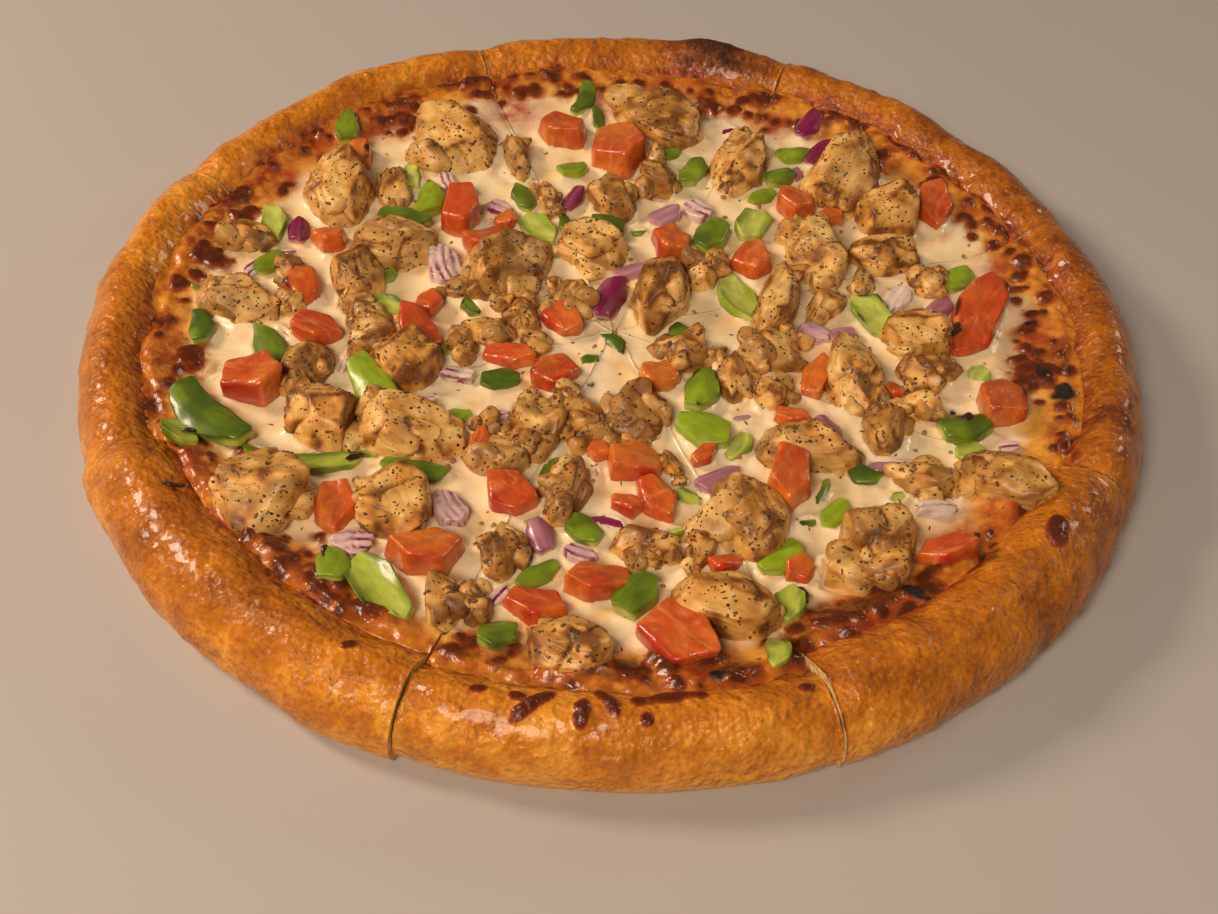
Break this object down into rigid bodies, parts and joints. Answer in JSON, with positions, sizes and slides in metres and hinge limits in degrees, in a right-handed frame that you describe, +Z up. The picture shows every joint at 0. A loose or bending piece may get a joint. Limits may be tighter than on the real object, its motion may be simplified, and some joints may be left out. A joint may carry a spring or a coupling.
{
  "type": "grilled chicken pizza",
  "caption": "Round thick-crust pizza cut into wedges, with a raised golden rim, melted cheese, and grilled chicken, tomato, green pepper and red onion.",
  "frame": {"origin": "centre of the underside, where the pizza lies on its plate or board", "axes": "+Z up through the toppings; the picture was taken from the -Y side, with +X to its right"},
  "size_m": [0.3183, 0.3168, 0.0301],
  "materials": {
    "crust": "golden-brown baked dough with a light oily sheen",
    "cheese": "melted cheese, glossy, browned towards the rim",
    "chicken": "grilled chicken, moist and fibrous, browned at the edges",
    "tomato": "wet cooked tomato",
    "pepper": "cooked green pepper, wet, with a darker skin",
    "onion": "cooked red onion, wet and slightly clear"
  },
  "bodies": {
    "root": {"crust_1": "crust", "crust_2": "crust", "crust_3": "crust", "crust_4": "crust", "crust_5": "crust", "crust_6": "crust", "crust_7": "crust", "crust_8": "crust", "cheese_1": "cheese", "cheese_2": "cheese", "cheese_3": "cheese", "cheese_4": "cheese", "cheese_5": "cheese", "cheese_6": "cheese", "cheese_7": "cheese", "cheese_8": "cheese", "chicken_01": "chicken", "chicken_02": "chicken", "chicken_03": "chicken", "chicken_04": "chicken", "chicken_05": "chicken", "chicken_06": "chicken", "chicken_07": "chicken", "chicken_08": "chicken", "chicken_09": "chicken", "chicken_10": "chicken", "chicken_11": "chicken", "chicken_12": "chicken", "chicken_13": "chicken", "chicken_14": "chicken", "chicken_15": "chicken", "chicken_16": "chicken", "chicken_17": "chicken", "chicken_18": "chicken", "chicken_19": "chicken", "chicken_20": "chicken", "chicken_21": "chicken", "chicken_22": "chicken", "chicken_23": "chicken", "chicken_24": "chicken", "chicken_25": "chicken", "chicken_26": "chicken", "chicken_27": "chicken", "chicken_28": "chicken", "tomato_01": "tomato", "tomato_02": "tomato", "tomato_03": "tomato", "tomato_04": "tomato", "tomato_05": "tomato", "tomato_06": "tomato", "tomato_07": "tomato", "tomato_08": "tomato", "tomato_09": "tomato", "pepper_01": "pepper", "pepper_02": "pepper", "pepper_03": "pepper", "pepper_04": "pepper", "pepper_05": "pepper", "onion_01": "onion", "onion_02": "onion"}
  },
  "joints": []
}
